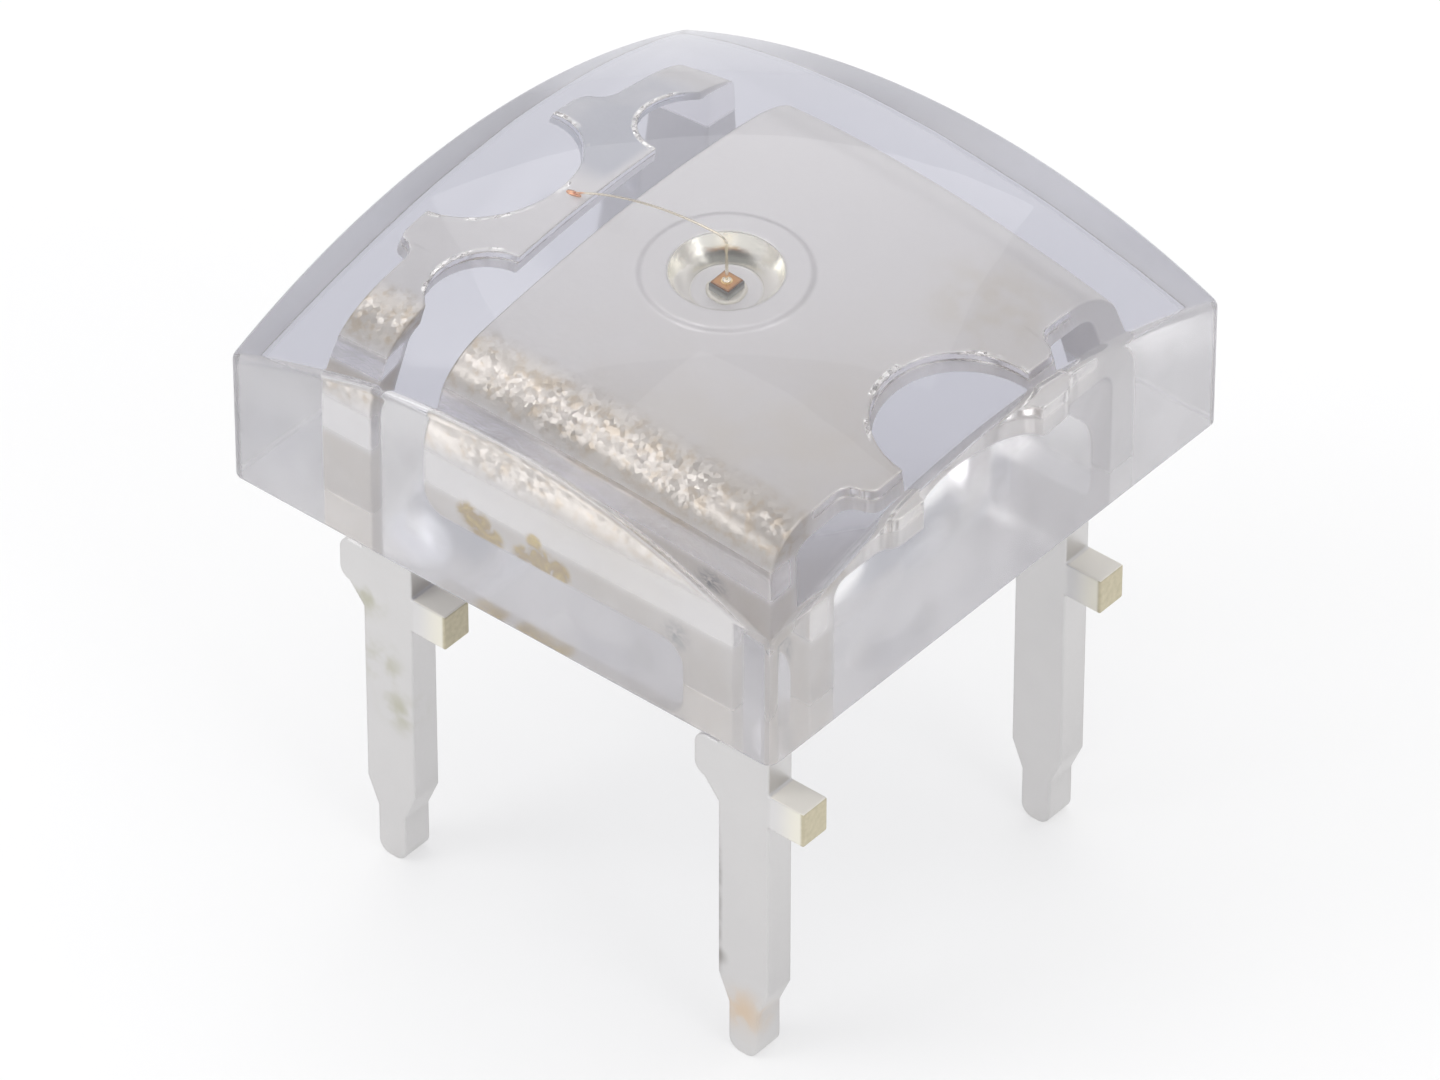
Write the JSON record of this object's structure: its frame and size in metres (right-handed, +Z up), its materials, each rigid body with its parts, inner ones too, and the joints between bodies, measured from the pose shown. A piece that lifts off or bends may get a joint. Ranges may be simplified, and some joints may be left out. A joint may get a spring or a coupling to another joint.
{
  "type": "super flux led",
  "caption": "Square clear epoxy LED with a shallow domed top, a reflector cup and chip on a bent plated lead frame, and flat through-hole leads.",
  "frame": {"origin": "middle of the footprint, on the plane of the lead tips", "axes": "+Z up from the lead tips to the dome, +X from the smaller frame piece to the larger one, rows of leads along X"},
  "size_m": [0.0076, 0.0076, 0.0087],
  "materials": {
    "clear_epoxy": "clear cast epoxy with a faint lavender tint",
    "plated_frame": "satin silver plating, bare yellow metal at the cut stubs",
    "adhesive": "cured silver-filled adhesive",
    "chip": "polished amber chip",
    "gold_wire": "bright drawn gold wire"
  },
  "bodies": {
    "root": {"lens_body": "clear_epoxy", "cathode_frame": "plated_frame", "anode_frame": "plated_frame", "die_attach": "adhesive", "led_die": "chip", "bond_wire": "gold_wire"}
  },
  "joints": []
}
